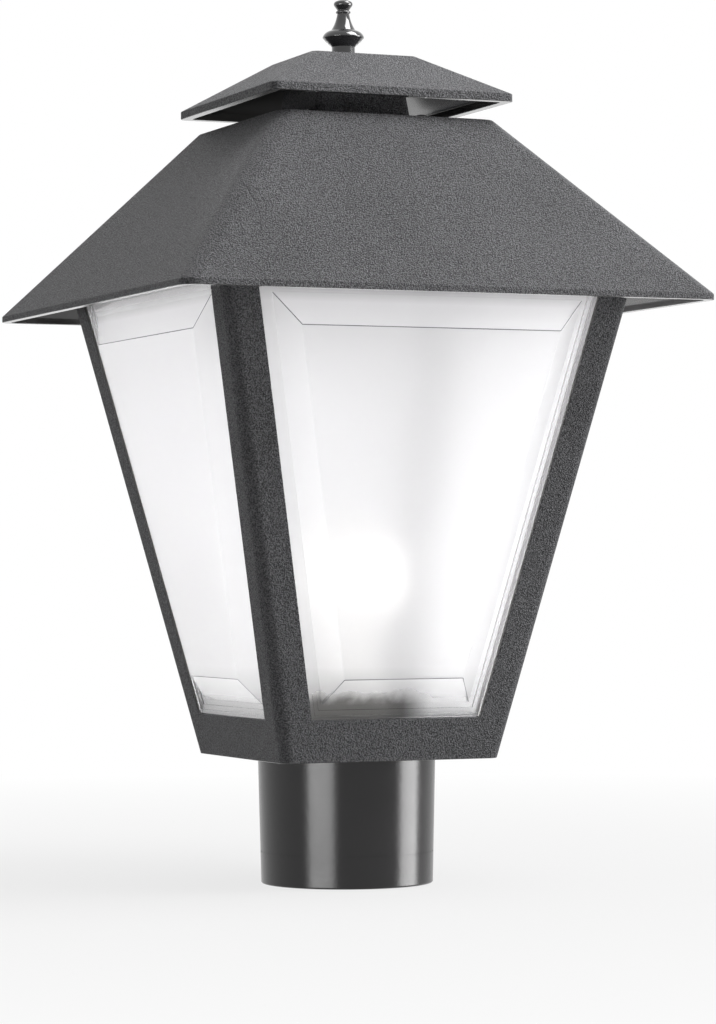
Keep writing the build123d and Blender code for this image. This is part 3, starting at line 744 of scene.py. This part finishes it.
CREASE_FINISH = PaneCrease("pane_crease")
FLOOR_FINISH = PaleFloor("studio_floor")
FINISHES: dict[str, Finish] = {
    "shell": PebblePlastic("charcoal_shell"),
    "gloss_black": Enamel("finial_enamel", roughness=0.12, peel_mm=4.0, peel_depth_mm=0.012, coat=0.6),
    "satin_black": Enamel("fitter_enamel", (0.006, 0.0055, 0.006), 0.24, 2.6, 0.03, shine=0.40),
    "pane": FrostedPane("frosted_pane"),
    "zinc_steel": Plated("zinc_plate"),
    "screw_steel": Plated("screw_plate", (0.60, 0.61, 0.62), 0.28, 1.2),
    "set_screw_steel": Plated("black_oxide", (0.09, 0.09, 0.095), 0.36, 1.0),
    "washer_rubber": Dull("washer_rubber"),
    "grommet_rubber": Dull("grommet_rubber", (0.035, 0.035, 0.036)),
    "porcelain": Dull("glazed_porcelain", (0.80, 0.79, 0.75), 0.16, 7.0, 0.015, 0.5),
    "shell_brass": Plated("shell_brass", (0.72, 0.56, 0.29), 0.26, 2.0),
    "contact_brass": Plated("contact_brass", (0.74, 0.58, 0.32), 0.3, 1.4),
    "lamp_glass": LitGlass("lamp_glass"),
    "lamp_metal": Plated("lamp_aluminium", (0.78, 0.78, 0.79), 0.3, 1.6),
    "lamp_insulation": Dull("vitrite", (0.02, 0.02, 0.022), 0.18, 3.0, 0.01, 0.4),
    "earth_green": Dull("earth_lacquer", (0.03, 0.26, 0.07), 0.32, 2.0, 0.01, 0.3),
}


@dataclass(frozen=True)
class Thread:
    """A helical thread on the lantern's axis."""

    pitch: float
    depth: float
    low_z: float
    high_z: float
    steps: int
    run_out: float = 0.5

    def pressed(self, radius: float, height: float, angle: float) -> float:
        """Radius of a point once the thread is pressed into it.

        Args:
            radius: Radius of the crests.
            height: Height of the point.
            angle: Its bearing.

        Returns:
            The new radius.
        """
        ends = min(height - self.low_z, self.high_z - height) / self.pitch
        fade = min(1.0, max(0.0, ends / self.run_out))
        wave = 0.5 - 0.5 * math.cos(2.0 * math.pi * height / self.pitch - angle)
        return radius - self.depth * fade * wave


@dataclass
class Workshop:
    """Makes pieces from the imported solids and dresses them."""

    materials: dict[str, bpy.types.Material]
    slots: dict[str, str]

    @classmethod
    def open(cls) -> "Workshop":
        """Build every material, and read which slot each node has.

        Returns:
            The workshop.
        """
        materials = {slot: finish.make() for slot, finish in FINISHES.items()}
        slots = {s["node"]: s["material_slot"] for s in frame["record"]["subparts"]}
        return cls(materials, slots)

    def dress(self, node: str) -> None:
        """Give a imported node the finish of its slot.

        Args:
            node: The node.
        """
        solid = frame["nodes"][node]
        solid.data.materials.clear()
        solid.data.materials.append(self.materials[self.slots[node]])

    def add(self, name: str, mesh: bmesh.types.BMesh, slot: str, body: Body) -> bpy.types.Object:
        """Turn a mesh into a dressed piece that rides on a body.

        Args:
            name: Name of the piece.
            mesh: Its surface, which is freed.
            slot: Material slot of the record.
            body: Body that it rides on.

        Returns:
            The new piece.
        """
        bmesh.ops.recalc_face_normals(mesh, faces=mesh.faces)
        data = bpy.data.meshes.new(name)
        mesh.to_mesh(data)
        mesh.free()
        data.materials.append(self.materials[slot])
        piece = bpy.data.objects.new(name, data)
        bpy.context.scene.collection.objects.link(piece)
        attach(piece, body.value)
        return piece

    @staticmethod
    def smooth(piece: bpy.types.Object) -> None:
        """Shade a piece smooth, except over its sharp edges."""
        piece.data.polygons.foreach_set("use_smooth", [True] * len(piece.data.polygons))
        piece.data.set_sharp_from_angle(angle=SHARP)

    @staticmethod
    def opened(node: str) -> bmesh.types.BMesh:
        """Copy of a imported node's surface, with its flat faces joined.

        Args:
            node: Node to copy.

        Returns:
            The surface, ready to be worked on.
        """
        mesh = bmesh.new()
        mesh.from_mesh(frame["nodes"][node].data)
        bmesh.ops.remove_doubles(mesh, verts=mesh.verts, dist=MERGE)
        bmesh.ops.dissolve_limit(mesh, angle_limit=FLAT, verts=mesh.verts, edges=mesh.edges)
        mesh.normal_update()
        return mesh

    @staticmethod
    def round_off(
        mesh: bmesh.types.BMesh, creases: Sequence[bmesh.types.BMEdge], width_mm: float, segments: int,
        material: int = -1,
    ) -> None:
        """Round creases of a surface.

        Args:
            mesh: The surface.
            creases: Its edges that get rounded.
            width_mm: Width of the rounding on each side.
            segments: Steps of the rounding.
            material: Place of the material that the new faces get, or -1 for their neighbours'.
        """
        bmesh.ops.bevel(
            mesh, geom=creases, offset=width_mm * MM, offset_type="OFFSET", segments=segments,
            profile=0.5, affect="EDGES", clamp_overlap=False, material=material,
        )

    def rounded(
        self, node: str, name: str, body: Body, radius_mm: float, shows: Callable[[Vector], bool],
    ) -> None:
        """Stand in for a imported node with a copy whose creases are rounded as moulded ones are.

        Args:
            node: Node that it stands for.
            name: Name of the new piece.
            body: Body that it rides on.
            radius_mm: Size of the rounding.
            shows: True for a point on a crease that gets rounded.
        """
        mesh = self.opened(node)
        creases = [
            edge for edge in mesh.edges
            if len(edge.link_faces) == 2 and edge.calc_face_angle() > CREASE
            and shows((edge.verts[0].co + edge.verts[1].co) / 2)
        ]
        count = len(creases)
        self.round_off(mesh, creases, radius_mm, 3)
        piece = self.add(name, mesh, self.slots[node], body)
        self.smooth(piece)
        piece.modifiers.new("flat_faces", "WEIGHTED_NORMAL").keep_sharp = True
        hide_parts(node)
        LOG.info("%s stands for %s, %d creases rounded", name, node, count)

    def turned(
        self, node: str, name: str, body: Body, outline: Sequence[tuple[float, float]], thread: Thread,
    ) -> None:
        """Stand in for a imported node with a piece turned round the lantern's axis and threaded.

        Args:
            node: Node that it stands for.
            name: Name of the new piece.
            body: Body that it rides on.
            outline: Closed outline of (radius, height) points, going up outside and down inside.
            thread: The thread that is pressed or cut into it.
        """
        mesh = bmesh.new()
        rings = []
        for turn in range(thread.steps):
            angle = 2.0 * math.pi * turn / thread.steps
            rings.append([
                mesh.verts.new((
                    math.cos(angle) * thread.pressed(radius, height, angle),
                    math.sin(angle) * thread.pressed(radius, height, angle),
                    height,
                ))
                for radius, height in outline
            ])
        count = len(outline)
        for turn, ring in enumerate(rings):
            following = rings[(turn + 1) % thread.steps]
            for point in range(count):
                after = (point + 1) % count
                mesh.faces.new((ring[point], following[point], following[after], ring[after]))
        piece = self.add(name, mesh, self.slots[node], body)
        self.smooth(piece)
        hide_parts(node)
        LOG.info("%s stands for %s, turned from %d points", name, node, count)


@dataclass
class Shells:
    """The grained mouldings with rounded creases: body frame, roof and cap."""

    body_radius_mm: float = 0.4
    roof_radius_mm: float = 0.35
    body_foot_half: float = 0.056
    body_skin: float = 3.2 * MM
    roof_middle: float = 0.075
    cap_middle: float = 0.02

    def build(self, shop: Workshop) -> None:
        """Make the rounded shells; creases near the axis stay as they are.

        Args:
            shop: The workshop.
        """
        low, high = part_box("body_frame")
        slope = (high.x - self.body_foot_half) / (high.z - low.z)

        def on_body(point: Vector) -> bool:
            """True on the body's outer surface."""
            half = self.body_foot_half + slope * (point.z - low.z)
            return max(abs(point.x), abs(point.y)) > half - self.body_skin

        def on_roof(point: Vector) -> bool:
            """True outside the roof's neck hole."""
            return abs(point.x) + abs(point.y) > self.roof_middle

        def on_cap(point: Vector) -> bool:
            """True outside the cap's rod hole."""
            return abs(point.x) + abs(point.y) > self.cap_middle

        shop.rounded("body_frame", "body_moulding", Body.LANTERN, self.body_radius_mm, on_body)
        shop.rounded("roof", "roof_moulding", Body.ROOF, self.roof_radius_mm, on_roof)
        shop.rounded("vent_cap", "cap_moulding", Body.CAP, self.roof_radius_mm, on_cap)


@dataclass
class Panes:
    """The four frosted panes; their facets meet in narrow rounded edges."""

    sides: tuple[str, ...] = ("front", "right", "rear", "left")
    crease_width_mm: float = 0.22
    least_angle: float = math.radians(8.0)
    most_angle: float = math.radians(52.0)
    least_outward: float = 0.5
    least_upright: float = 0.95

    def build(self, shop: Workshop) -> None:
        """Make the panes.

        Args:
            shop: The workshop.
        """
        crease_material = CREASE_FINISH.make()
        for side in self.sides:
            mesh = shop.opened(f"lens_{side}")
            creases = [edge for edge in mesh.edges if self.is_facet_edge(edge)]
            count = len(creases)
            shop.round_off(mesh, creases, self.crease_width_mm, 2, material=1)
            for face in mesh.faces:
                if face.material_index == 1 and self.is_upright(face):
                    face.material_index = 0
            pane = shop.add(f"pane_{side}", mesh, "pane", Body.LANTERN)
            pane.data.materials.append(crease_material)
            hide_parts(f"lens_{side}")
            LOG.info("pane_%s has %d rounded facet edges", side, count)

    def is_upright(self, face: bmesh.types.BMFace) -> bool:
        """Tell the roundings that run up the sides of the raised field, where no line shows.

        Args:
            face: A face of a rounding.

        Returns:
            True if it is on such a side.
        """
        longest = max(face.edges, key=lambda edge: edge.calc_length())
        run = longest.verts[1].co - longest.verts[0].co
        return abs(run.z) > self.least_upright * run.length

    def is_facet_edge(self, edge: bmesh.types.BMEdge) -> bool:
        """Tell the raised edges between two facets of the pane's outer side.

        Args:
            edge: An edge of the pane.

        Returns:
            True if it is such an edge.
        """
        if len(edge.link_faces) != 2 or not edge.is_convex:
            return False
        middle = (edge.verts[0].co + edge.verts[1].co) / 2
        away = Vector((middle.x, middle.y, 0.0)).normalized()
        outer = all(face.normal.dot(away) > self.least_outward for face in edge.link_faces)
        return outer and self.least_angle < edge.calc_face_angle() < self.most_angle


@dataclass
class ScrewedParts:
    """Threaded pieces on the axis: lamp base, socket shell and centre rod."""

    lamp_pitch: float = 3.65 * MM
    lamp_depth: float = 0.55 * MM
    lamp_wall: float = 0.5 * MM
    lamp_steps: int = 72
    lamp_rows: int = 10
    plain_foot: float = 0.8 * MM
    plain_head: float = 4.8 * MM
    shell_bore: float = 13.35 * MM
    shell_depth: float = 0.35 * MM
    shell_plain_foot: float = 1.6 * MM
    shell_plain_head: float = 0.8 * MM
    rod_pitch: float = 1.0 * MM
    rod_depth: float = 0.36 * MM
    rod_chamfer: float = 0.6 * MM
    rod_steps: int = 24
    rod_rows: int = 6

    def build(self, shop: Workshop) -> None:
        """Make the threaded pieces.

        Args:
            shop: The workshop.
        """
        self._lamp_base(shop)
        self._socket_shell(shop)
        self._rod(shop)

    def _tube(self, outer: float, inner: float, low: float, high: float) -> list[tuple[float, float]]:
        """Outline of an upright tube, divided so that the lamp's thread can be pressed into it.

        Args:
            outer: Outer radius.
            inner: Inner radius.
            low: Height of its foot.
            high: Height of its head.

        Returns:
            The outline, as (radius, height) points.
        """
        count = round((high - low) / (self.lamp_pitch / self.lamp_rows))
        heights = [low + (high - low) * row / count for row in range(count + 1)]
        return [(outer, z) for z in heights] + [(inner, z) for z in reversed(heights)]

    def _lamp_base(self, shop: Workshop) -> None:
        """Make the rolled screw shell of the lamp.

        Args:
            shop: The workshop.
        """
        low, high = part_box("lamp_base")
        radius = (high.x - low.x) / 2
        foot, head = low.z + self.plain_foot, high.z - self.plain_head
        thread = Thread(self.lamp_pitch, self.lamp_depth, foot, head, self.lamp_steps)
        outline = self._tube(radius, radius - self.lamp_wall, low.z, high.z)
        shop.turned("lamp_base", "lamp_screw_base", Body.LAMP, outline, thread)

    def _socket_shell(self, shop: Workshop) -> None:
        """Make the rolled screw shell of the socket, which the lamp's thread follows.

        Args:
            shop: The workshop.
        """
        low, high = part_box("socket_shell")
        radius = (high.x - low.x) / 2
        foot, head = low.z + self.shell_plain_foot, high.z - self.shell_plain_head
        thread = Thread(self.lamp_pitch, self.shell_depth, foot, head, self.lamp_steps)
        outline = self._tube(radius, self.shell_bore + self.shell_depth, low.z, high.z)
        shop.turned("socket_shell", "socket_screw_shell", Body.LANTERN, outline, thread)

    def _rod(self, shop: Workshop) -> None:
        """Make the fully threaded rod with chamfered ends.

        Args:
            shop: The workshop.
        """
        low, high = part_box("centre_rod")
        radius = (high.x - low.x) / 2
        core = radius - self.rod_chamfer
        foot, head = low.z + self.rod_chamfer, high.z - self.rod_chamfer
        count = round((head - foot) / (self.rod_pitch / self.rod_rows))
        outline = [(core / 2, low.z), (core, low.z)]
        outline += [(radius, foot + (head - foot) / count * row) for row in range(count + 1)]
        outline += [(core, high.z), (core / 2, high.z)]
        thread = Thread(self.rod_pitch, self.rod_depth, foot, head, self.rod_steps)
        shop.turned("centre_rod", "threaded_rod", Body.LANTERN, outline, thread)


@dataclass(frozen=True)
class SoftBox:
    """One rectangular studio light, placed round the lantern's axis."""

    name: str
    bearing_deg: float
    distance: float
    centre_z: float
    width: float
    height: float
    watts: float
    aim_z: float

    def hang(self, camera_yaw_deg: float) -> None:
        """Put the light up.

        Args:
            camera_yaw_deg: The camera's own bearing; the light's is measured from it, to the right.
        """
        angle = math.radians(self.bearing_deg - camera_yaw_deg - 90.0)
        place = Vector((math.cos(angle) * self.distance, math.sin(angle) * self.distance, self.centre_z))
        lamp = bpy.data.lights.new(self.name, "AREA")
        lamp.shape = "RECTANGLE"
        lamp.size = self.width
        lamp.size_y = self.height
        lamp.energy = self.watts
        holder = bpy.data.objects.new(self.name, lamp)
        holder.location = place
        away = place - Vector((0.0, 0.0, self.aim_z))
        holder.rotation_euler = away.to_track_quat("Z", "Y").to_euler()
        bpy.context.scene.collection.objects.link(holder)


@dataclass
class Studio:
    """Floor, lights, background and camera."""

    focal_px: float = 3502.6
    distance: float = 1.7006
    height: float = 0.15287
    yaw_deg: float = 23.2965
    pitch_deg: float = 0.8903
    pan_deg: float = 0.2052
    roll_deg: float = -0.2612
    sensor_mm: float = 36.0
    clip_near: float = 0.05
    clip_far: float = 50.0
    floor_half: float = 6.0
    floor_drop: float = 0.5 * MM
    world_light: float = 0.20
    boxes: tuple[SoftBox, ...] = (
        SoftBox("strip_left", -34.0, 1.5, -0.065, 0.90, 0.40, 12.3, -0.065),
        SoftBox("wall_right", 89.0, 1.5, 0.125, 0.80, 0.95, 31.0, 0.125),
        SoftBox("top", 75.0, 0.80, 1.45, 0.90, 0.90, 34.0, 0.25),
    )

    def build(self) -> None:
        """Set everything up."""
        self._floor()
        self._world()
        for box in self.boxes:
            box.hang(self.yaw_deg)
        self._camera()
        bpy.context.scene.view_settings.view_transform = "Standard"
        LOG.info("studio set up with %d lights", len(self.boxes))

    def _floor(self) -> None:
        """Lay the floor, just under the fitter's rim."""
        mesh = bmesh.new()
        bmesh.ops.create_grid(mesh, x_segments=1, y_segments=1, size=self.floor_half)
        data = bpy.data.meshes.new("floor")
        mesh.to_mesh(data)
        mesh.free()
        data.materials.append(FLOOR_FINISH.make())
        floor = bpy.data.objects.new("floor", data)
        floor.location.z = -self.floor_drop
        bpy.context.scene.collection.objects.link(floor)

    def _world(self) -> None:
        """Make the world white to the camera and in reflections, and dimmer as a light."""
        world = bpy.data.worlds.new("studio")
        bpy.context.scene.world = world
        world.use_nodes = True
        graph = Graph(world.node_tree)
        paths = graph.node("ShaderNodeLightPath")
        seen = graph.wire(paths, "Is Camera Ray").at_least(graph.wire(paths, "Is Glossy Ray"))
        seen = seen.at_least(graph.wire(paths, "Is Transmission Ray"))
        light = graph.node("ShaderNodeBackground", Color=WHITE, Strength=self.world_light)
        white = graph.node("ShaderNodeBackground", Color=WHITE, Strength=1.0)
        mixed = graph.node("ShaderNodeMixShader", i0=seen, i1=light.outputs[0], i2=white.outputs[0])
        graph.node("ShaderNodeOutputWorld", i0=mixed.outputs[0])

    def _camera(self) -> None:
        """Put the camera at the photograph's place."""
        yaw = math.radians(self.yaw_deg)
        bearing = yaw + math.radians(self.pan_deg)
        pitch = math.radians(self.pitch_deg)
        roll = math.radians(self.roll_deg)
        flat = math.cos(pitch)
        ahead = Vector((math.sin(bearing) * flat, math.cos(bearing) * flat, math.sin(pitch)))
        level = ahead.cross(Vector((0.0, 0.0, 1.0))).normalized()
        upright = level.cross(ahead)
        right = level * math.cos(roll) + upright * math.sin(roll)
        up = upright * math.cos(roll) - level * math.sin(roll)
        place = Vector((-math.sin(yaw) * self.distance, -math.cos(yaw) * self.distance, self.height))
        data = bpy.data.cameras.new("camera")
        data.sensor_width = self.sensor_mm
        data.lens = self.focal_px / PHOTO_HEIGHT_PX * self.sensor_mm
        data.clip_start = self.clip_near
        data.clip_end = self.clip_far
        camera = bpy.data.objects.new("camera", data)
        turn = Matrix((right, up, -ahead)).transposed()
        camera.matrix_world = Matrix.Translation(place) @ turn.to_4x4()
        bpy.context.scene.collection.objects.link(camera)
        bpy.context.scene.camera = camera


def main() -> None:
    """Build the looks."""
    logging.basicConfig(level=logging.INFO, format="%(name)s: %(message)s")
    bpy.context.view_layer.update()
    shop = Workshop.open()
    Shells().build(shop)
    Panes().build(shop)
    ScrewedParts().build(shop)
    packed = [node for node, solid in frame["nodes"].items() if not solid.hide_render]
    for node in packed:
        shop.dress(node)
    LOG.info("%d packed nodes dressed", len(packed))
    Studio().build()


if __name__ == "__main__":
    main()
